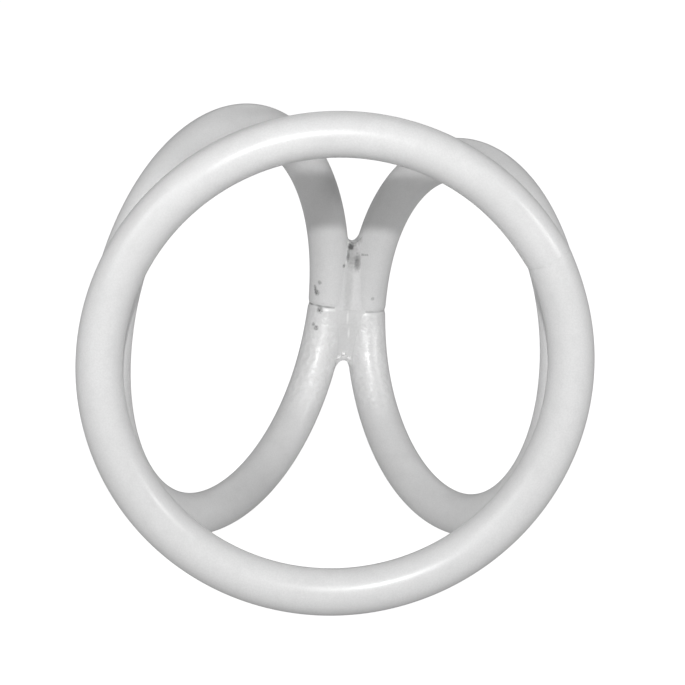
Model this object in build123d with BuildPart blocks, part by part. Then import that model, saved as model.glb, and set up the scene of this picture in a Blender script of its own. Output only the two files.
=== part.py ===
from build123d import *
import math
import os

os.makedirs("parts", exist_ok=True)

# Three round tube hoops stood on edge in a closed triangle and welded side by side.
# Units are millimetres.  The floor is z = 0, +Z is up, -Y is the side of the largest hoop,
# and the origin is on the floor under the middle of the assembly.

# ---- driving dimensions -------------------------------------------------------------------
tube_od = 32.0            # round tube
tube_wall = 2.0
front_hoop_od = 350.0     # outside diameters of the three hoops
left_hoop_od = 325.0
right_hoop_od = 300.0
left_drop = 7.0           # how far each rear hoop's centre is below the front hoop's centre
right_drop = 10.0
joint_gap = 0.05          # hoops are set up touching; the welds bridge what is left
right_step_angle = 2.0    # side step between touching tubes, seen from above, from straight back
left_step_angle = -8.0
rear_step_angle = 5.0     # from straight across
seam_width = 1.0          # closing weld of each hoop, dressed flush with the tube
front_seam_angle = 32.0   # where each hoop closes, round from its own level line
left_seam_angle = -3.6
right_seam_angle = -3.9
sleeve_length = 50.0      # backing sleeve inside the tube, bridging the closing weld
sleeve_wall = 2.0
sleeve_clearance = 0.04
weld_half_length = 53.0   # joint welds, measured up and down from the middle of the joint
weld_root = 4.0           # distance of a weld's root from the line between the tube centres
weld_face = 9.5           # distance of a weld's face from that line
weld_crown = 0.6          # how far a face bulges between its edges
split_drop = 9.0          # the rear inner joint changes from one run to another below its middle
upper_run_length = 61.0   # a fuller run goes up from there
upper_weld_face = 12.5
web_length = 47.0         # a flat filling, almost flush with the tubes' crests, goes down from there
web_face = 15.5
crater_radius = 6.5       # rounded hollow at each tip of a weld, centred a little beyond the tip
crater_offset = 2.5

tube_r = tube_od / 2
bore_r = tube_r - tube_wall
pitch = tube_od + joint_gap
front_r = front_hoop_od / 2 - tube_r
left_r = left_hoop_od / 2 - tube_r
right_r = right_hoop_od / 2 - tube_r


# ---- layout, with the hoops upright -------------------------------------------------------
def heading(degrees):
    """Horizontal unit vector, measured from +X towards +Y."""
    return Vector(math.cos(math.radians(degrees)), math.sin(math.radians(degrees)), 0)


def bearing(vector):
    return math.degrees(math.atan2(vector.Y, vector.X))


up = Vector(0, 0, 1)
front_right_end = Vector(front_r, 0, 0)
front_left_end = Vector(-front_r, 0, 0)
right_near_end = front_right_end + heading(90 - right_step_angle) * pitch
left_near_end = front_left_end + heading(90 + left_step_angle) * pitch

# The two rear hoops close the triangle: three known sides, so the cosine rule gives the angle.
base = right_near_end - heading(rear_step_angle) * pitch - left_near_end
cosine = ((2 * left_r) ** 2 + base.length**2 - (2 * right_r) ** 2) / (4 * left_r * base.length)
left_heading = bearing(base) + math.degrees(math.acos(cosine))
left_far_end = left_near_end + heading(left_heading) * (2 * left_r)
right_far_end = left_far_end + heading(rear_step_angle) * pitch
right_heading = bearing(right_far_end - right_near_end)

front_centre = Vector(0, 0, 0)
left_centre = (left_near_end + left_far_end) * 0.5 - up * left_drop
right_centre = (right_near_end + right_far_end) * 0.5 - up * right_drop


def hoop_plane(centre, direction):
    """Plane of a hoop: x runs level along the hoop, y runs up."""
    return Plane(origin=centre, x_dir=direction, z_dir=direction.cross(up))


upright = {
    "front": (hoop_plane(front_centre, heading(0)), front_r),
    "left": (hoop_plane(left_centre, heading(left_heading)), left_r),
    "right": (hoop_plane(right_centre, heading(right_heading)), right_r),
}


# ---- the assembly leans until all three hoops touch the floor ------------------------------
def lowest_point(plane, radius, floor_up):
    """Point of a hoop's tube that is lowest along floor_up."""
    along = floor_up.dot(plane.x_dir)
    rise = floor_up.dot(plane.y_dir)
    steepness = math.hypot(along, rise)
    foot = plane.origin - (plane.x_dir * along + plane.y_dir * rise) * (radius / steepness)
    return foot - floor_up * tube_r


floor_up = up
for _ in range(20):
    feet = [lowest_point(plane, radius, floor_up) for plane, radius in upright.values()]
    floor_up = (feet[1] - feet[0]).cross(feet[2] - feet[0]).normalized()
    floor_up = floor_up if floor_up.Z > 0 else floor_up * -1

floor_x = (Vector(1, 0, 0) - floor_up * floor_up.X).normalized()
floor = Plane(origin=feet[0], x_dir=floor_x, z_dir=floor_up)


def on_floor(plane):
    return Plane(floor.location.inverse() * plane.location)


def reach(plane, radius, axis):
    """Half the span of a hoop along a world axis."""
    return radius * math.sqrt(1 - plane.z_dir.dot(axis) ** 2) + tube_r


resting = {name: (on_floor(plane), radius) for name, (plane, radius) in upright.items()}
middle = Vector(0, 0, 0)
for axis in (Vector(1, 0, 0), Vector(0, 1, 0)):
    low = min(plane.origin.dot(axis) - reach(plane, radius, axis) for plane, radius in resting.values())
    high = max(plane.origin.dot(axis) + reach(plane, radius, axis) for plane, radius in resting.values())
    middle += axis * ((low + high) / 2)


def placed(plane):
    """Move something laid out with the hoops upright into the resting frame."""
    rest = on_floor(plane)
    return Plane(origin=rest.origin - middle, x_dir=rest.x_dir, z_dir=rest.z_dir)


def turned(plane, degrees):
    """Plane of a tube's cross-section, the given angle round its hoop from the x direction."""
    outward = plane.x_dir * math.cos(math.radians(degrees)) + plane.y_dir * math.sin(math.radians(degrees))
    return Plane(origin=plane.origin, x_dir=outward, z_dir=outward.cross(plane.z_dir))


front_plane = placed(upright["front"][0])
left_plane = placed(upright["left"][0])
right_plane = placed(upright["right"][0])

# ---- hoops: one length of round tube each, bent round and butted ---------------------------
front_axis = Axis(origin=front_plane.origin, direction=front_plane.z_dir)
left_axis = Axis(origin=left_plane.origin, direction=left_plane.z_dir)
right_axis = Axis(origin=right_plane.origin, direction=right_plane.z_dir)

front_seam_arc = math.degrees(seam_width / front_r)
left_seam_arc = math.degrees(seam_width / left_r)
right_seam_arc = math.degrees(seam_width / right_r)

with BuildPart() as front_hoop:
    with BuildSketch(turned(front_plane, front_seam_angle + front_seam_arc / 2)):
        with Locations((front_r, 0)):
            Circle(tube_r)
            Circle(bore_r, mode=Mode.SUBTRACT)
    revolve(axis=front_axis, revolution_arc=360 - front_seam_arc)

with BuildPart() as left_hoop:
    with BuildSketch(turned(left_plane, left_seam_angle + left_seam_arc / 2)):
        with Locations((left_r, 0)):
            Circle(tube_r)
            Circle(bore_r, mode=Mode.SUBTRACT)
    revolve(axis=left_axis, revolution_arc=360 - left_seam_arc)

with BuildPart() as right_hoop:
    with BuildSketch(turned(right_plane, right_seam_angle + right_seam_arc / 2)):
        with Locations((right_r, 0)):
            Circle(tube_r)
            Circle(bore_r, mode=Mode.SUBTRACT)
    revolve(axis=right_axis, revolution_arc=360 - right_seam_arc)

# ---- closing welds: the ring of weld metal that joins the two ends of each tube ------------
with BuildPart() as front_closing_weld:
    with BuildSketch(turned(front_plane, front_seam_angle - front_seam_arc / 2)):
        with Locations((front_r, 0)):
            Circle(tube_r)
            Circle(bore_r, mode=Mode.SUBTRACT)
    revolve(axis=front_axis, revolution_arc=front_seam_arc)

with BuildPart() as left_closing_weld:
    with BuildSketch(turned(left_plane, left_seam_angle - left_seam_arc / 2)):
        with Locations((left_r, 0)):
            Circle(tube_r)
            Circle(bore_r, mode=Mode.SUBTRACT)
    revolve(axis=left_axis, revolution_arc=left_seam_arc)

with BuildPart() as right_closing_weld:
    with BuildSketch(turned(right_plane, right_seam_angle - right_seam_arc / 2)):
        with Locations((right_r, 0)):
            Circle(tube_r)
            Circle(bore_r, mode=Mode.SUBTRACT)
    revolve(axis=right_axis, revolution_arc=right_seam_arc)

# ---- backing sleeves: short bent sleeves inside the tubes, one behind each closing weld ----
sleeve_r = bore_r - sleeve_clearance
front_sleeve_arc = math.degrees(sleeve_length / front_r)
left_sleeve_arc = math.degrees(sleeve_length / left_r)
right_sleeve_arc = math.degrees(sleeve_length / right_r)

with BuildPart() as front_sleeve:
    with BuildSketch(turned(front_plane, front_seam_angle - front_sleeve_arc / 2)):
        with Locations((front_r, 0)):
            Circle(sleeve_r)
            Circle(sleeve_r - sleeve_wall, mode=Mode.SUBTRACT)
    revolve(axis=front_axis, revolution_arc=front_sleeve_arc)

with BuildPart() as left_sleeve:
    with BuildSketch(turned(left_plane, left_seam_angle - left_sleeve_arc / 2)):
        with Locations((left_r, 0)):
            Circle(sleeve_r)
            Circle(sleeve_r - sleeve_wall, mode=Mode.SUBTRACT)
    revolve(axis=left_axis, revolution_arc=left_sleeve_arc)

with BuildPart() as right_sleeve:
    with BuildSketch(turned(right_plane, right_seam_angle - right_sleeve_arc / 2)):
        with Locations((right_r, 0)):
            Circle(sleeve_r)
            Circle(sleeve_r - sleeve_wall, mode=Mode.SUBTRACT)
    revolve(axis=right_axis, revolution_arc=right_sleeve_arc)

# ---- solid envelopes of the tubes, used to shape the joint welds ---------------------------
with BuildPart() as front_envelope:
    with BuildSketch(turned(front_plane, 45)):
        with Locations((front_r, 0)):
            Circle(tube_r)
    revolve(axis=front_axis)

with BuildPart() as left_envelope:
    with BuildSketch(turned(left_plane, 45)):
        with Locations((left_r, 0)):
            Circle(tube_r)
    revolve(axis=left_axis)

with BuildPart() as right_envelope:
    with BuildSketch(turned(right_plane, 45)):
        with Locations((right_r, 0)):
            Circle(tube_r)
    revolve(axis=right_axis)


# ---- joint welds: runs of weld in the valleys between two touching tubes -------------------
def valley(end_a, end_b, height, side):
    """Middle of a joint, the direction across it, the way the valley faces, and its hand."""
    across = (end_b - end_a).normalized()
    hand = 1 if across.cross(up).dot(side) > 0 else -1
    return (end_a + end_b) * 0.5 + up * height, across, across.cross(up) * hand, hand


def weld_run(joint, side, tubes, face, start=0, length=weld_half_length, halves=(1, -1)):
    """Bead between two touching hoops.

    The hoops curl away from the joint, so the bead follows the curve halfway between them.
    side is the direction in which this valley faces; the bead runs from start, measured down
    from the middle of the joint, upwards where halves holds 1 and downwards where it holds -1.
    """
    end_a, inward_a, radius_a, end_b, inward_b, radius_b, height = joint
    joint_middle, across, facing, hand = valley(end_a, end_b, height - start, side)
    curl = (inward_a * (0.5 / radius_a) + inward_b * (0.5 / radius_b)) * 0.5
    bend_r = 0.5 / curl.length
    toward = curl.normalized()
    pivot = placed(Plane(origin=joint_middle + toward * bend_r, x_dir=toward, z_dir=up))
    sweep = math.degrees(math.asin(length / bend_r))
    sag = bend_r * (1 - math.cos(math.radians(sweep)))
    with BuildPart() as bead:
        for half in halves:
            with BuildSketch(placed(Plane(origin=joint_middle, x_dir=across, z_dir=up * -hand))):
                with BuildLine():
                    Polyline(
                        (-tube_r, face),
                        (-tube_r, weld_root),
                        (tube_r, weld_root),
                        (tube_r, face),
                    )
                    ThreePointArc((tube_r, face), (0, face + weld_crown), (-tube_r, face))
                make_face()
            turn = Axis(origin=pivot.origin, direction=pivot.y_dir * half)
            revolve(axis=turn, revolution_arc=sweep)
            tip = joint_middle + toward * sag + up * (half * (length + crater_offset))
            with BuildSketch(placed(Plane(origin=tip, x_dir=across, z_dir=facing))):
                Circle(crater_radius)
            extrude(amount=2 * tube_od, both=True, mode=Mode.SUBTRACT)
        for tube in tubes:
            add(tube.part, mode=Mode.SUBTRACT)
    return bead


def flat_web(joint, side, tubes, face, start, length):
    """Flat-faced filling between two tubes, running straight down from start."""
    end_a, _, _, end_b, _, _, height = joint
    top, across, facing, hand = valley(end_a, end_b, height - start, side)
    with BuildPart() as web:
        with BuildSketch(placed(Plane(origin=top, x_dir=across, z_dir=up * -hand))):
            with Locations((0, (weld_root + face) / 2)):
                Rectangle(2 * tube_r, face - weld_root)
        extrude(amount=length * hand)
        tip = top - up * (length + crater_offset)
        with BuildSketch(placed(Plane(origin=tip, x_dir=across, z_dir=facing))):
            Circle(crater_radius)
        extrude(amount=2 * tube_od, both=True, mode=Mode.SUBTRACT)
        for tube in tubes:
            add(tube.part, mode=Mode.SUBTRACT)
    return web


left_inward = heading(left_heading)
right_inward = heading(right_heading)

rear_joint = (
    left_far_end, left_inward * -1, left_r, right_far_end, right_inward * -1, right_r,
    -(left_drop + right_drop) / 2,
)
left_joint = (
    front_left_end, heading(0), front_r, left_near_end, left_inward, left_r, -left_drop / 2,
)
right_joint = (
    front_right_end, heading(180), front_r, right_near_end, right_inward, right_r, -right_drop / 2,
)

rear_tubes = (left_envelope, right_envelope)
left_tubes = (front_envelope, left_envelope)
right_tubes = (front_envelope, right_envelope)

rear_inner_upper_weld = weld_run(
    rear_joint, heading(-90), rear_tubes, upper_weld_face, split_drop, upper_run_length, (1,)
)
rear_inner_lower_weld = flat_web(rear_joint, heading(-90), rear_tubes, web_face, split_drop, web_length)
rear_outer_weld = weld_run(rear_joint, heading(90), rear_tubes, weld_face)
left_inner_weld = weld_run(left_joint, heading(0), left_tubes, weld_face)
left_outer_weld = weld_run(left_joint, heading(180), left_tubes, weld_face)
right_inner_weld = weld_run(right_joint, heading(180), right_tubes, weld_face)
right_outer_weld = weld_run(right_joint, heading(0), right_tubes, weld_face)

# ---- names and files -----------------------------------------------------------------------
front_hoop.part.label = "front_hoop"
left_hoop.part.label = "left_hoop"
right_hoop.part.label = "right_hoop"
front_closing_weld.part.label = "front_closing_weld"
left_closing_weld.part.label = "left_closing_weld"
right_closing_weld.part.label = "right_closing_weld"
front_sleeve.part.label = "front_sleeve"
left_sleeve.part.label = "left_sleeve"
right_sleeve.part.label = "right_sleeve"
rear_inner_upper_weld.part.label = "rear_inner_upper_weld"
rear_inner_lower_weld.part.label = "rear_inner_lower_weld"
rear_outer_weld.part.label = "rear_outer_weld"
left_inner_weld.part.label = "left_inner_weld"
left_outer_weld.part.label = "left_outer_weld"
right_inner_weld.part.label = "right_inner_weld"
right_outer_weld.part.label = "right_outer_weld"

export_step(front_hoop.part, "parts/front_hoop.step")
export_step(left_hoop.part, "parts/left_hoop.step")
export_step(right_hoop.part, "parts/right_hoop.step")
export_step(front_closing_weld.part, "parts/front_closing_weld.step")
export_step(left_closing_weld.part, "parts/left_closing_weld.step")
export_step(right_closing_weld.part, "parts/right_closing_weld.step")
export_step(front_sleeve.part, "parts/front_sleeve.step")
export_step(left_sleeve.part, "parts/left_sleeve.step")
export_step(right_sleeve.part, "parts/right_sleeve.step")
export_step(rear_inner_upper_weld.part, "parts/rear_inner_upper_weld.step")
export_step(rear_inner_lower_weld.part, "parts/rear_inner_lower_weld.step")
export_step(rear_outer_weld.part, "parts/rear_outer_weld.step")
export_step(left_inner_weld.part, "parts/left_inner_weld.step")
export_step(left_outer_weld.part, "parts/left_outer_weld.step")
export_step(right_inner_weld.part, "parts/right_inner_weld.step")
export_step(right_outer_weld.part, "parts/right_outer_weld.step")
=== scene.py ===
"""Looks for the tubular hoop stand: a painted steel weldment of three hoops on a pale studio floor."""
import math

import bmesh
import bpy
import numpy as np
from mathutils import Matrix, Vector, noise


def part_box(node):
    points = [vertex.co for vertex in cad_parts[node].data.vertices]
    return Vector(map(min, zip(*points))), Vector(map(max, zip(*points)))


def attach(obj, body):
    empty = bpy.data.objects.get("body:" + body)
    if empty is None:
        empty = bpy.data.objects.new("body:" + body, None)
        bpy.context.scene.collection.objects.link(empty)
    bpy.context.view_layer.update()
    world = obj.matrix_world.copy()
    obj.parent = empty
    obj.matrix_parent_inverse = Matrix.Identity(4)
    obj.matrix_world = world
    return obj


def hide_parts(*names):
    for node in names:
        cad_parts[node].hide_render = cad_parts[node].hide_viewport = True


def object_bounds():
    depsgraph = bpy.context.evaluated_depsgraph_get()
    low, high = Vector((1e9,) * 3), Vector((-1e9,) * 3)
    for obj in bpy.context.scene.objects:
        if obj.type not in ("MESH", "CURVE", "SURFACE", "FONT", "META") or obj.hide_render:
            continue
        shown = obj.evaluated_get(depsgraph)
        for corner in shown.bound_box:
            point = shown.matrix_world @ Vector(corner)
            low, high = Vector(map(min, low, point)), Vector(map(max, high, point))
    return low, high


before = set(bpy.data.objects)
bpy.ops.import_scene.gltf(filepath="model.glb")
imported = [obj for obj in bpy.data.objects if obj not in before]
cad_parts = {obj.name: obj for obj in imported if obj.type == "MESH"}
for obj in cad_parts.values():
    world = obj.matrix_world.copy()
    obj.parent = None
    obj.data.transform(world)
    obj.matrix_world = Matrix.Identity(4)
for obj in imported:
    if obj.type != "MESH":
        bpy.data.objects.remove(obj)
cad_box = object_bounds()

# ---- sizes, in metres ------------------------------------------------------------------------
RING_STEPS = 540           # rings of vertices round a hoop
TUBE_STEPS = 72            # vertices round a tube
LIP_DEPTH = 0.0012         # how far a tube's wall is followed down into its seam
DIP_WIDTH = 0.0022         # the dressed seam is a shallow dip this wide
SEAM_RINGS = (0, 0.2, 0.4, 0.7, 1, 1.4, 1.8, 2.3, 3, 4, 5.5, 7.5, 10)  # rings near a seam, mm from it
PEAK_HEIGHT = 0.0011       # the unbent ends of each tube leave the closed hoop slightly pointed
PEAK_LENGTH = 0.015        # how far from the seam the point dies out
FRONT_STRETCH = 0.036      # the largest hoop's tube was drawn thinner over the top of its bend
BEAD_STEP = 0.0006         # spacing of the rungs of a weld bead
BEAD_RUNGS = 44            # vertices across a weld bead
TIP_ARCH = 0.0090          # how much further a bead's toes run than its middle
TIP_ROUND = 0.0013         # radius of a bead's free end
SKIRT_DEPTH = 0.012        # how far a free end is carried back between the tubes
SKIRT_DROP = 0.003         # and how far it slopes away over that depth
RIPPLE_HEIGHT = 0.00005    # ripples across a bead, and their spacing
RIPPLE_STEP = 0.0026
REAR_ENDS = (-0.0498, 0.0445)  # heights of the rear beads' free ends, from the joint's middle
REAR_SPLIT = -0.009        # height where the two inner rear runs meet
SIDE_ENDS = (-0.050, 0.050)

# ---- camera and light ------------------------------------------------------------------------
CAMERA_PLACE = (-0.0989, -1.3855, 0.5895)
CAMERA_PAN = math.radians(4.631)
CAMERA_TILT = math.radians(17.460)
CAMERA_ROLL = math.radians(1.436)
CAMERA_LENS = 103.45       # millimetres, on a 36 mm wide sensor
FLASH_AZIMUTH = math.radians(-4.6)
FLASH_HEIGHT = math.radians(26.8)
FLASH_DISTANCE = 1.5
FROM_BELOW = 0.44          # strength of the light from the surroundings
FROM_ABOVE = 0.20


# ---- node helpers ----------------------------------------------------------------------------
class Nodes:
    """Short hand for building one material's node tree."""

    def __init__(self, name):
        self.material = bpy.data.materials.new(name)
        self.material.use_nodes = True
        self.tree = self.material.node_tree
        self.shader = self.tree.nodes["Principled BSDF"]
        self.place = self.tree.nodes.new("ShaderNodeTexCoord").outputs["Object"]

    def link(self, value, socket):
        if isinstance(value, bpy.types.NodeSocket):
            self.tree.links.new(value, socket)
        else:
            socket.default_value = value

    def math(self, operation, a, b):
        node = self.tree.nodes.new("ShaderNodeMath")
        node.operation = operation
        for socket, value in zip(node.inputs, (a, b)):
            self.link(value, socket)
        return node.outputs[0]

    def noise(self, scale, detail=3.0, roughness=0.5):
        node = self.tree.nodes.new("ShaderNodeTexNoise")
        self.link(self.place, node.inputs["Vector"])
        node.inputs["Scale"].default_value = scale
        node.inputs["Detail"].default_value = detail
        node.inputs["Roughness"].default_value = roughness
        return node.outputs["Fac"]

    def ramp(self, value, low, high, low_out=0.0, high_out=1.0):
        """Smooth step from low_out to high_out as value goes from low to high."""
        node = self.tree.nodes.new("ShaderNodeMapRange")
        node.interpolation_type = "SMOOTHSTEP"
        self.link(value, node.inputs["Value"])
        node.inputs["From Min"].default_value = low
        node.inputs["From Max"].default_value = high
        node.inputs["To Min"].default_value = low_out
        node.inputs["To Max"].default_value = high_out
        return node.outputs["Result"]

    def near(self, point, inner, outer):
        """1 within inner metres of a point, 0 beyond outer."""
        node = self.tree.nodes.new("ShaderNodeVectorMath")
        node.operation = "DISTANCE"
        self.link(self.place, node.inputs[0])
        node.inputs[1].default_value = point
        return self.ramp(node.outputs["Value"], inner, outer, 1.0, 0.0)

    def mix(self, factor, a, b):
        node = self.tree.nodes.new("ShaderNodeMix")
        node.data_type = "RGBA"
        self.link(factor, node.inputs[0])
        for socket, value in ((node.inputs[6], a), (node.inputs[7], b)):
            self.link(value if isinstance(value, bpy.types.NodeSocket) else (*value, 1.0), socket)
        return node.outputs[2]

    def attribute(self, name):
        node = self.tree.nodes.new("ShaderNodeAttribute")
        node.attribute_name = name
        return node.outputs["Fac"]

    def bump(self, height, distance):
        node = self.tree.nodes.new("ShaderNodeBump")
        node.inputs["Distance"].default_value = distance
        node.inputs["Strength"].default_value = 1.0
        self.link(height, node.inputs["Height"])
        return node.outputs["Normal"]


WHITE = (0.80, 0.80, 0.80)
CHALK = (0.765, 0.765, 0.765)
HIGHLIGHT_WHITE = (0.98, 0.98, 0.98)
GREY = (0.60, 0.60, 0.60)
SOOT_AND_SHADE = (0.08, 0.08, 0.08)
STEEL = (0.42, 0.42, 0.43)
BLOOM = (0.30, 0.26, 0.23)


def paint(name, blemishes=(), lumpy=None):
    """Off-white powder coat with orange peel, faint cloudiness and dust.

    blemishes are (point, size, depth) of small pits, and lumpy is a point near which the coat
    has run and set unevenly and is mottled lighter there as a painted highlight.  The mesh's
    attributes darken the coat for seam hairlines, weld soot and painted shade in a weld's
    valley, and lighten it as painted highlights.
    """
    n = Nodes(name)
    cloud = n.noise(14.0, 4.0, 0.55)
    peel = n.noise(430.0, 2.0, 0.5)
    ripple = n.noise(150.0, 2.0, 0.45)
    grain = n.noise(850.0, 2.0, 0.6)
    stain = n.noise(95.0, 3.0, 0.6)
    dust = n.ramp(n.noise(620.0, 1.0, 0.4), 0.70, 0.76)
    colour = n.mix(n.ramp(cloud, 0.35, 0.7), WHITE, CHALK)
    colour = n.mix(n.math("MULTIPLY", n.ramp(grain, 0.3, 0.7), 0.24), colour, GREY)
    colour = n.mix(n.math("MULTIPLY", n.ramp(stain, 0.45, 0.75), 0.16), colour, GREY)
    colour = n.mix(n.math("MULTIPLY", dust, 0.12), colour, GREY)
    height = n.math("ADD", peel, n.math("MULTIPLY", grain, 0.22))
    height = n.math("ADD", height, n.math("MULTIPLY", ripple, 1.6))
    if lumpy is not None:
        runs, where = n.noise(240.0, 2.0, 0.5), n.near(lumpy, 0.030, 0.057)
        height = n.math("ADD", height, n.math("MULTIPLY", n.math("MULTIPLY", runs, where), 20.0))
        # painted highlight: near the lumpy point the coat is mottled lighter, standing in for the lamps'
        # reflection on the lumpy coat
        pale = n.math("MULTIPLY", n.ramp(runs, 0.34, 0.68, 0.20, 0.42), where)
        colour = n.mix(pale, colour, HIGHLIGHT_WHITE)
    ragged = n.ramp(n.noise(1000.0, 3.0, 0.6), 0.40, 0.56, 0.45, 1.0)
    for point, size, depth in blemishes:
        pit = n.math("MULTIPLY", n.near(point, size * 0.15, size), ragged)
        colour = n.mix(n.math("MULTIPLY", pit, depth), colour, SOOT_AND_SHADE)
        height = n.math("SUBTRACT", height, n.math("MULTIPLY", pit, 2.5))
    # painted highlights from one mesh attribute; seam hairlines, weld soot and painted shade from the other
    colour = n.mix(n.attribute("bright"), colour, HIGHLIGHT_WHITE)
    colour = n.mix(n.attribute("soot"), colour, SOOT_AND_SHADE)
    n.link(colour, n.shader.inputs["Base Color"])
    rough = n.ramp(n.noise(60.0, 3.0), 0.3, 0.7, 0.30, 0.38)
    n.link(rough, n.shader.inputs["Roughness"])
    n.link(n.bump(height, 0.00005), n.shader.inputs["Normal"])
    n.shader.inputs["IOR"].default_value = 1.5
    n.shader.inputs["Coat Weight"].default_value = 0.14
    n.shader.inputs["Coat Roughness"].default_value = 0.20
    return n.material


def bead_paint(name):
    """The same coat over a weld, with pinholes."""
    n = Nodes(name)
    lumps = n.noise(420.0, 3.0, 0.6)
    pinholes = n.ramp(n.noise(1100.0, 2.0, 0.5), 0.70, 0.75)
    colour = n.mix(n.ramp(lumps, 0.35, 0.65), CHALK, WHITE)
    colour = n.mix(n.math("MULTIPLY", pinholes, 0.35), colour, GREY)
    # painted highlights from one mesh attribute; weld soot and painted shade in the valley from the other
    colour = n.mix(n.attribute("bright"), colour, HIGHLIGHT_WHITE)
    colour = n.mix(n.attribute("soot"), colour, SOOT_AND_SHADE)
    height = n.math("SUBTRACT", lumps, n.math("MULTIPLY", pinholes, 0.6))
    n.link(colour, n.shader.inputs["Base Color"])
    n.link(n.ramp(lumps, 0.3, 0.7, 0.46, 0.36), n.shader.inputs["Roughness"])
    n.link(n.bump(height, 0.00010), n.shader.inputs["Normal"])
    n.shader.inputs["Coat Weight"].default_value = 0.14
    n.shader.inputs["Coat Roughness"].default_value = 0.20
    return n.material


def drawn_steel(name):
    """Bare drawn tube, with fine lines and a little bloom; it is hidden inside the hoops."""
    n = Nodes(name)
    lines = n.noise(1500.0, 2.0, 0.6)
    bloom = n.noise(45.0, 4.0, 0.6)
    n.link(n.mix(n.ramp(bloom, 0.4, 0.7), STEEL, BLOOM), n.shader.inputs["Base Color"])
    n.link(n.ramp(bloom, 0.35, 0.7, 0.32, 0.55), n.shader.inputs["Roughness"])
    n.link(n.bump(lines, 0.00004), n.shader.inputs["Normal"])
    n.shader.inputs["Metallic"].default_value = 1.0
    return n.material


# ---- what the frame says about each hoop -----------------------------------------------------
class Hoop:
    """Centre, plane and radii of a hoop, worked out from its CAD node and its closing weld."""

    def __init__(self, side):
        self.node = side + "_hoop"
        self.side = side
        self.stretch = FRONT_STRETCH if side == "front" else 0.0
        low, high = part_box(self.node)
        self.centre = (low + high) / 2
        points = np.array([v.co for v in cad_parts[self.node].data.vertices])
        points = points - np.array(self.centre)
        spread, axes = np.linalg.eigh(points.T @ points)
        self.axis = Vector(axes[:, 0])
        if self.axis.y > 0:
            self.axis.negate()
        along = points @ np.array(self.axis)
        out = np.sqrt(np.maximum((points**2).sum(1) - along**2, 0))
        self.tube = float(along.max() - along.min()) / 2
        self.radius = float(out.max()) - self.tube
        weld_low, weld_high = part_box(side + "_closing_weld")
        self.seam_place = (weld_low + weld_high) / 2
        toward = self.seam_place - self.centre
        self.u = (toward - self.axis * toward.dot(self.axis)).normalized()
        self.v = self.axis.cross(self.u)
        seam_points = np.array([v.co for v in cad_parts[side + "_closing_weld"].data.vertices])
        seam_points = seam_points - np.array(self.centre)
        bearings = np.arctan2(seam_points @ np.array(self.v), seam_points @ np.array(self.u))
        self.half_seam = float(bearings.max() - bearings.min()) / 2

    def outward(self, angle):
        return self.u * math.cos(angle) + self.v * math.sin(angle)

    def peak(self, angle):
        """How far the centreline stands out near the seam."""
        return PEAK_HEIGHT * math.exp(-self.arc(angle) / PEAK_LENGTH)

    def arc(self, angle):
        """Distance along the centreline from the seam."""
        return abs((angle + math.pi) % (2 * math.pi) - math.pi) * self.radius

    def spot(self, along, around):
        """Point on the tube's surface: distance along from the seam, angle around from outside."""
        return self.point(along / self.radius, math.radians(around), self.tube)

    def point(self, angle, around, tube):
        """Point on the tube: angle round the hoop from the seam, around the tube from outside."""
        out = self.outward(angle)
        centre = self.centre + out * (self.radius + self.peak(angle))
        oval = 1 - self.stretch * (0.2 + out.z)
        return centre + (out * (oval * math.cos(around)) + self.axis * math.sin(around)) * tube


def mesh_object(name, vertices, faces, material, slot, replaced=(), **attributes):
    mesh = bpy.data.meshes.new(name)
    mesh.from_pydata([tuple(v) for v in vertices], [], faces)
    mesh.update()
    normals = bmesh.new()
    normals.from_mesh(mesh)
    bmesh.ops.recalc_face_normals(normals, faces=normals.faces)
    normals.to_mesh(mesh)
    normals.free()
    mesh.polygons.foreach_set("use_smooth", [True] * len(mesh.polygons))
    mesh.materials.append(material)
    for key, values in attributes.items():
        mesh.attributes.new(key, "FLOAT", "POINT").data.foreach_set("value", values)
    piece = bpy.data.objects.new(name, mesh)
    bpy.context.scene.collection.objects.link(piece)
    if replaced:
        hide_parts(*replaced)
    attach(piece, "root")
    return piece


def lofted(rows, closed):
    """Faces between successive rows of equal length, each row closed on itself if asked."""
    count = len(rows[0])
    vertices = [p for row in rows for p in row]
    faces = []
    for a in range(0, (len(rows) - 1) * count, count):
        for j in range(count if closed else count - 1):
            k = (j + 1) % count
            faces.append((a + j, a + k, a + count + k, a + count + j))
    return vertices, faces


# painted highlight streaks below each seam, lighter paint in place of the lamps' reflection: degrees around
# the tube from outside, and width
HIGHLIGHT_STREAKS = {"front": (), "left": ((149, 12),), "right": ((150, 11), (174, 7))}


def tube_row(hoop, angle, tube):
    return [hoop.point(angle, 2 * math.pi * j / TUBE_STEPS, tube) for j in range(TUBE_STEPS)]


def painted_highlight_streak(hoop, arc, angle, around):
    """Brightness of the painted highlight streaks below a seam, 0 to 1."""
    place = hoop.point(angle, around, hoop.tube)
    bearing = math.degrees(around) + 5 * noise.noise(place * 45)
    streaks = sum(math.exp(-(((bearing - middle) / wide) ** 2)) for middle, wide in HIGHLIGHT_STREAKS[hoop.side])
    length = min(1.0, max(0.0, (arc - 0.004) / 0.018)) * min(1.0, max(0.0, (0.100 - arc) / 0.045))
    return 0.8 * length * min(1.0, streaks) * (0.8 + 0.5 * noise.noise(place * 230))


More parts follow.
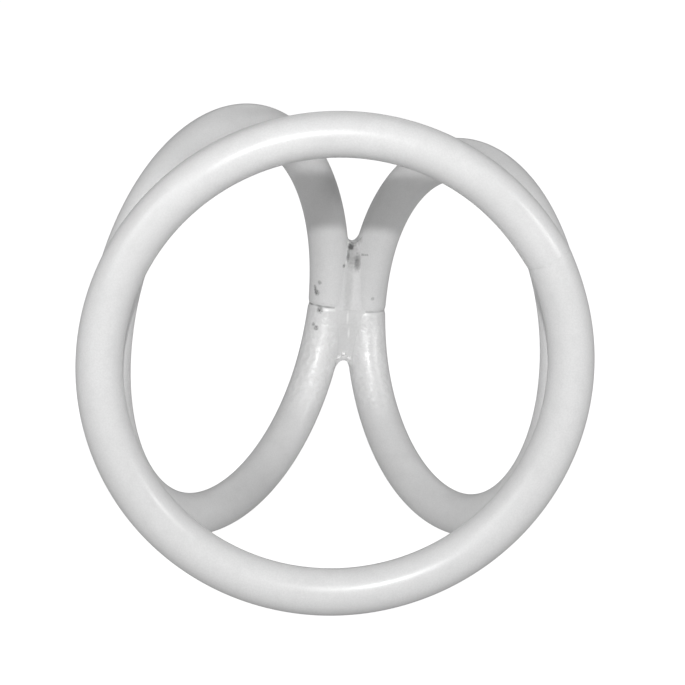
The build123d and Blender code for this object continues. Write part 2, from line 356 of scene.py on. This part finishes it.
def hoop_tube(hoop, material, dip, soot):
    """One bent tube; its two ends roll down into the dip that is left over the closing weld."""
    start = hoop.half_seam
    close = [start + mm * 0.001 / hoop.radius for mm in SEAM_RINGS]
    spaced = np.linspace(close[-1], 2 * math.pi - close[-1], RING_STEPS)[1:-1]
    angles = close + [float(angle) for angle in spaced] + [2 * math.pi - angle for angle in reversed(close)]
    profile = [(start, hoop.tube - LIP_DEPTH)]
    for angle in angles:
        profile.append((angle, hoop.tube - dip * math.exp(-((hoop.arc(angle) / DIP_WIDTH) ** 2))))
    profile.append((2 * math.pi - start, hoop.tube - LIP_DEPTH))
    vertices, faces = lofted([tube_row(hoop, angle, tube) for angle, tube in profile], True)
    shade, shine = [], []
    for angle, tube in profile:
        arc = hoop.arc(angle) - start * hoop.radius
        below = (angle < math.pi) != (hoop.v.z > 0)
        # painted highlight: a lighter band along the lower lip just below the rear seams, on the inward
        # side, where the lamps catch it
        lip_highlight = math.exp(-(((arc - 0.0018) / 0.0010) ** 2)) if soot and below else 0.0
        for j in range(TUBE_STEPS):
            around = 2 * math.pi * j / TUBE_STEPS
            patchy = 0.6 + 0.8 * noise.noise(hoop.point(angle, around, tube) * 160)
            shade.append(soot * min(1.0, max(0.0, patchy)) * max(0.0, 1 - arc / 0.0005))
            inward = max(0.0, 1 - ((math.degrees(around) - 148) / 22) ** 2)
            # painted highlight streaks below the seam
            run = painted_highlight_streak(hoop, arc, angle, around) if below else 0.0
            shine.append(min(1.0, lip_highlight * inward + run))
    return mesh_object(
        hoop.side + "_tube", vertices, faces, material, "hoop_paint", [hoop.node], soot=shade, bright=shine
    )


def closing_weld(hoop, material, dip, soot):
    """The strip of dressed weld along the bottom of the seam's dip."""
    half = hoop.half_seam * 0.97
    face = hoop.tube - dip - 0.00006
    rows = [(-half, hoop.tube - LIP_DEPTH)]
    rows += [(half * share, face + 0.00003 * (1 - share * share)) for share in (-1.0, -0.5, 0.0, 0.5, 1.0)]
    rows += [(half, hoop.tube - LIP_DEPTH)]
    vertices, faces = lofted([tube_row(hoop, angle, tube) for angle, tube in rows], True)
    shade = [soot * min(1.0, max(0.0, 0.6 + 0.8 * noise.noise(v * 160))) for v in vertices]
    node = hoop.side + "_closing_weld"
    return mesh_object(hoop.side + "_seam", vertices, faces, material, "seam_paint", [node], soot=shade)


# ---- weld beads ------------------------------------------------------------------------------
class Joint:
    """Where two hoops touch, seen from the side its valley faces."""

    def __init__(self, a, b, inner):
        self.hoops = (a, b)
        level = [hoop.axis.cross(row_up).normalized() for hoop in self.hoops]
        signs = [(1, 1), (1, -1), (-1, 1), (-1, -1)]

        def ends(sign):
            return [h.centre + d * (h.radius * s) for h, d, s in zip(self.hoops, level, sign)]

        sign = min(signs, key=lambda s: (ends(s)[0] - ends(s)[1]).length)
        self.outs = [d * s for d, s in zip(level, sign)]
        left, right = ends(sign)
        self.middle = (left + right) / 2
        self.across = right - left
        self.across = (self.across - row_up * self.across.dot(row_up)).normalized()
        self.facing = self.across.cross(row_up)
        homeward = self.facing.dot(assembly_middle - self.middle) > 0
        if homeward != inner:
            self.facing.negate()

    def surface(self, k, height, lift, sink=0.0):
        """Point on one tube, at a height above the middle and an angle up from its inner side."""
        hoop, out = self.hoops[k], self.outs[k]
        toward = self.across if k == 0 else -self.across
        direction = toward * math.cos(lift) + self.facing * math.sin(lift)
        rise = height + (self.middle - hoop.centre).dot(row_up)
        tube = hoop.tube - sink
        spread = row_up * rise + out * math.sqrt((hoop.radius + tube * direction.dot(out)) ** 2 - rise**2)
        bearing = math.atan2(spread.dot(hoop.v), spread.dot(hoop.u))
        kink = hoop.outward(bearing) * hoop.peak(bearing)
        return hoop.centre + spread + kink + hoop.axis * (tube * direction.dot(hoop.axis))

    def blend(self, height, share, lift, pull):
        """Point on the smooth fillet from one tube to the other; share runs from -1 to 1."""
        ends, slopes = [], []
        for k in (0, 1):
            ends.append(self.surface(k, height, lift))
            slope = self.surface(k, height, lift - 0.02) - ends[k]
            slopes.append(slope.normalized())
        span = (ends[1] - ends[0]).length * pull
        t = (share + 1) / 2
        return (
            ends[0] * (2 * t**3 - 3 * t**2 + 1)
            + slopes[0] * (span * (t**3 - 2 * t**2 + t))
            + ends[1] * (3 * t**2 - 2 * t**3)
            - slopes[1] * (span * (t**3 - t**2))
        )


def patch(height, across, mark):
    """How far inside an oval mark a place on a bead is, 0 to 1; ragged at its edge."""
    at_height, at_across, tall, wide, strength = mark
    away = math.hypot((height - at_height) / tall, (across - at_across) / wide)
    ragged = 0.35 * noise.noise(Vector((height, across, at_height)) * 700)
    return strength * min(1.0, max(0.0, 1.6 - 1.5 * away + ragged))


def bead(node, joint, low, high, tips, lift, pull, rough, material, dark=(), light=(), drops=()):
    """A weld bead lofted between two tubes.

    low and high are the heights of its ends in the middle; tips says which of them are free
    ends.  lift gives the toes' angle at a height, rough the unevenness.  dark and light are
    marks for patch(): the dark ones are weld soot, except faint long ones down the valley,
    which are painted shade; the light ones are painted highlights.  drops are (height,
    across share, radius) of spatter, with a painted highlight.
    """
    heights = np.linspace(low, high, int((high - low) / BEAD_STEP) + 1)
    shares = np.linspace(-1, 1, BEAD_RUNGS)
    rows, soot, bright = [], [], []

    def row(height, end, slide=0.0, back=0.0):
        points = [joint.surface(0, height, lift(height) + 0.1, 0.0006)]
        shade, shine = [0.0], [0.0]
        for share in shares:
            stray = (height - low) / (high - low)
            arch = TIP_ARCH * share * share
            reach = arch * ((stray**3 if tips[1] else 0) - ((1 - stray) ** 3 if tips[0] else 0))
            at = height + reach
            point = joint.blend(at, share, lift(at), pull)
            fade = 1 - share**6
            uneven = rough(at) * (noise.noise(point * 420) + 0.6 * noise.noise(point * 1000))
            ripple = RIPPLE_HEIGHT * math.sin(2 * math.pi * (at - 0.0012 * share * share) / RIPPLE_STEP)
            crown = joint.facing * (fade * (uneven + ripple * (1 - share * share)) - 0.00004)
            point = point + crown + row_up * (end * slide) - joint.facing * back
            points.append(point)
            across = (point - joint.middle).dot(joint.across)
            shade.append(min(0.95, sum(patch(at, across, mark) for mark in dark)))
            shine.append(min(1.0, sum(patch(at, across, mark) for mark in light)))
        points.append(joint.surface(1, height, lift(height) + 0.1, 0.0006))
        rows.append(points)
        soot.extend(shade + [0.0])
        bright.extend(shine + [0.0])

    curl = [math.radians(angle) for angle in (25, 50, 75, 90)]
    if tips[0]:
        row(low, -1, TIP_ROUND - SKIRT_DROP, SKIRT_DEPTH)
        for angle in reversed(curl):
            row(low, -1, TIP_ROUND * math.sin(angle), TIP_ROUND * (1 - math.cos(angle)))
    for height in heights:
        row(float(height), 0)
    if tips[1]:
        for angle in curl:
            row(high, 1, TIP_ROUND * math.sin(angle), TIP_ROUND * (1 - math.cos(angle)))
        row(high, 1, TIP_ROUND - SKIRT_DROP, SKIRT_DEPTH)
    vertices, faces = lofted(rows, False)
    for height, share, radius in drops:
        centre = joint.blend(height, share, lift(height), pull)
        drop = bmesh.new()
        bmesh.ops.create_icosphere(drop, subdivisions=3, radius=radius)
        first = len(vertices)
        vertices += [centre + v.co for v in drop.verts]
        faces += [tuple(first + v.index for v in face.verts) for face in drop.faces]
        soot += [0.0] * len(drop.verts)
        # painted highlight on the spatter drops
        bright += [0.8] * len(drop.verts)
        drop.free()
    name = node.replace("_weld", "_bead")
    return mesh_object(name, vertices, faces, material, "weld_paint", [node], soot=soot, bright=bright)


# ---- build -----------------------------------------------------------------------------------
hoops = {side: Hoop(side) for side in ("front", "left", "right")}
front, left, right = hoops["front"], hoops["left"], hoops["right"]
row_up = left.axis.cross(right.axis).normalized()
if row_up.z < 0:
    row_up.negate()
assembly_middle = (front.centre + left.centre + right.centre) / 3

# pits in the coat: distance up along the tube from the seam, angle around it, size, depth
LEFT_PITS = (
    (21.6, 178, 2.6, 0.6), (17.0, -166, 2.2, 0.6), (14.5, -168, 2.4, 0.7), (12.0, -173, 3.6, 0.85),
    (-3.2, 172, 4.0, 0.9), (-17.0, -174, 2.4, 0.6), (-19.6, 175, 3.2, 0.8), (35.7, 101, 2.4, 0.8),
)
RIGHT_PITS = (
    (12.5, 166, 2.2, 0.45), (48.2, 92, 2.4, 0.9), (48.8, 98, 1.8, 0.9), (49.5, 104, 1.6, 0.9),
    (50.3, 110, 1.5, 0.8), (51.0, 116, 1.4, 0.7), (51.7, 122, 1.3, 0.6), (52.4, 128, 1.2, 0.5),
)
steel = drawn_steel("sleeve_steel")
seam_coat = paint("seam_coat")
bead_coat = bead_paint("bead_coat")


def pits(hoop, places):
    upward = 1 if hoop.v.z > 0 else -1
    return [
        (hoop.spot(upward * along * 0.001, around), size * 0.001, depth)
        for along, around, size, depth in places
    ]


def below_seam(hoop):
    """Place off the inner side of a hoop, a little below its seam."""
    along = -0.045 if hoop.v.z > 0 else 0.045
    return hoop.point(along / hoop.radius, math.radians(160), hoop.tube + 0.02)


coats = {
    "front": paint("front_coat"),
    "left": paint("left_coat", pits(left, LEFT_PITS), below_seam(left)),
    "right": paint("right_coat", pits(right, RIGHT_PITS), below_seam(right)),
}
for side, hoop in hoops.items():
    dip, soot = {"front": (0.00006, 0.0), "left": (0.00065, 0.55), "right": (0.00065, 0.35)}[side]
    hoop_tube(hoop, coats[side], dip, soot)
    closing_weld(hoop, seam_coat, dip, soot)
    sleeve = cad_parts[side + "_sleeve"]
    sleeve.data.materials.clear()
    sleeve.data.materials.append(steel)


def blending(points):
    """Lift of a bead's toes, in degrees at given heights in millimetres, smoothly joined."""
    heights = [h * 0.001 for h, _ in points]
    lifts = [math.radians(angle) for _, angle in points]
    return lambda height: float(np.interp(height, heights, lifts))


def growing(calm, wild, start, end):
    """Unevenness that grows from calm at one height to wild at another."""
    return lambda height: calm + (wild - calm) * min(1.0, max(0.0, (height - start) / (end - start)))


rear_inner = Joint(left, right, True)
rear_lift = blending(
    [(-55, 24), (-45, 35), (-35, 47), (-20, 66), (-9, 74), (0, 66), (20, 54), (40, 38), (56, 20)]
)
bead(
    "rear_inner_lower_weld", rear_inner, REAR_ENDS[0], REAR_SPLIT, (True, False), rear_lift, 0.75,
    growing(0.00004, 0.00004, 0, 1), bead_coat,
    # a faint dark mark over the web between the tubes: painted shade
    dark=((-0.0300, 0.0, 0.0300, 0.0120, 0.09),),
    # painted highlights along the bead's crest
    light=((-0.0150, -0.0012, 0.0060, 0.0010, 1.0), (-0.0275, 0.0006, 0.0045, 0.0010, 1.0)),
    drops=((-0.0485, -0.62, 0.0016), (-0.0455, -0.12, 0.0016), (-0.0485, 0.45, 0.0017)),
)
bead(
    "rear_inner_upper_weld", rear_inner, REAR_SPLIT, REAR_ENDS[1], (False, True), rear_lift, 0.95,
    growing(0.00006, 0.00035, 0.010, 0.040), bead_coat,
    # weld soot, except the last, faint mark running most of the bead's height, which is painted shade down
    # the valley between the tubes
    dark=(
        (0.0425, -0.0030, 0.0030, 0.0030, 0.75), (0.0300, 0.0034, 0.0085, 0.0030, 0.55),
        (0.0350, -0.0045, 0.0060, 0.0016, 0.45), (0.0500, -0.0010, 0.0070, 0.0080, 0.45),
        (0.0370, -0.0005, 0.0140, 0.0060, 0.30), (0.0150, -0.0020, 0.0400, 0.0045, 0.20),
    ),
    # painted highlights on bright specks near the top of the bead
    light=((0.0360, -0.0062, 0.0040, 0.0010, 0.9), (0.0300, -0.0055, 0.0020, 0.0010, 1.0)),
)
plain_lift = blending([(-58, 20), (-48, 32), (-30, 42), (0, 46), (30, 42), (48, 32), (58, 20)])
for node, joint in (
    ("rear_outer_weld", Joint(left, right, False)),
    ("left_inner_weld", Joint(front, left, True)),
    ("left_outer_weld", Joint(front, left, False)),
    ("right_inner_weld", Joint(front, right, True)),
    ("right_outer_weld", Joint(front, right, False)),
):
    low, high = REAR_ENDS if node == "rear_outer_weld" else SIDE_ENDS
    rough = growing(0.00012, 0.0002, low, high)
    bead(node, joint, low, high, (True, True), plain_lift, 0.9, rough, bead_coat)


# ---- studio ----------------------------------------------------------------------------------
def floor():
    bpy.ops.mesh.primitive_plane_add(size=40.0, location=(0, 0, 0))
    plane = bpy.context.object
    plane.name = "floor"
    n = Nodes("floor_paper")
    tone = n.noise(3.0, 2.0, 0.5)
    n.link(n.mix(tone, (0.44, 0.44, 0.44), (0.46, 0.46, 0.46)), n.shader.inputs["Base Color"])
    n.shader.inputs["Roughness"].default_value = 0.9
    n.shader.inputs["Specular IOR Level"].default_value = 0.0
    n.shader.inputs["Emission Color"].default_value = (1, 1, 1, 1)
    n.shader.inputs["Emission Strength"].default_value = 0.92
    plane.data.materials.append(n.material)
    plane.visible_diffuse = False
    plane.visible_glossy = False


def aim(thing, target):
    direction = Vector(target) - thing.location
    thing.rotation_euler = direction.to_track_quat("-Z", "Y").to_euler()


def light(name, azimuth, height, distance, size, power, target):
    data = bpy.data.lights.new(name, "AREA")
    data.shape = "DISK"
    data.size = size
    data.energy = power
    lamp = bpy.data.objects.new(name, data)
    bpy.context.scene.collection.objects.link(lamp)
    level = distance * math.cos(height)
    lamp.location = target + Vector(
        (level * math.sin(azimuth), -level * math.cos(azimuth), distance * math.sin(height))
    )
    aim(lamp, target)


def surroundings():
    """Even white light all round, stronger from below as over a pale floor."""
    world = bpy.data.worlds.new("studio")
    bpy.context.scene.world = world
    world.use_nodes = True
    sky = world.node_tree
    split = sky.nodes.new("ShaderNodeSeparateXYZ")
    sky.links.new(sky.nodes.new("ShaderNodeTexCoord").outputs["Generated"], split.inputs[0])
    height = sky.nodes.new("ShaderNodeMapRange")
    height.inputs["From Min"].default_value = -1.0
    height.inputs["To Min"].default_value = FROM_BELOW
    height.inputs["To Max"].default_value = FROM_ABOVE
    sky.links.new(split.outputs["Z"], height.inputs["Value"])
    sky.links.new(height.outputs["Result"], sky.nodes["Background"].inputs["Strength"])
    sky.nodes["Background"].inputs["Color"].default_value = (1, 1, 1, 1)


def camera():
    data = bpy.data.cameras.new("camera")
    data.lens = CAMERA_LENS
    data.sensor_width = 36.0
    thing = bpy.data.objects.new("camera", data)
    bpy.context.scene.collection.objects.link(thing)
    pan = Matrix.Rotation(-CAMERA_PAN, 4, "Z")
    tilt = Matrix.Rotation(math.pi / 2 - CAMERA_TILT, 4, "X")
    roll = Matrix.Rotation(CAMERA_ROLL, 4, "Z")
    thing.matrix_world = Matrix.Translation(CAMERA_PLACE) @ pan @ tilt @ roll
    bpy.context.scene.camera = thing


floor()
middle = (cad_box[0] + cad_box[1]) / 2
light("flash", FLASH_AZIMUTH, FLASH_HEIGHT, FLASH_DISTANCE, 0.04, 11.0, middle)
light("left_box", math.radians(-45), math.radians(23), 1.8, 0.8, 5.0, middle)
light("right_box", math.radians(54), math.radians(18), 1.8, 0.4, 5.0, middle)
light("back_box", math.radians(172), math.radians(30), 2.0, 1.2, 2.0, middle)

surroundings()
bpy.context.scene.view_settings.view_transform = "Standard"
camera()
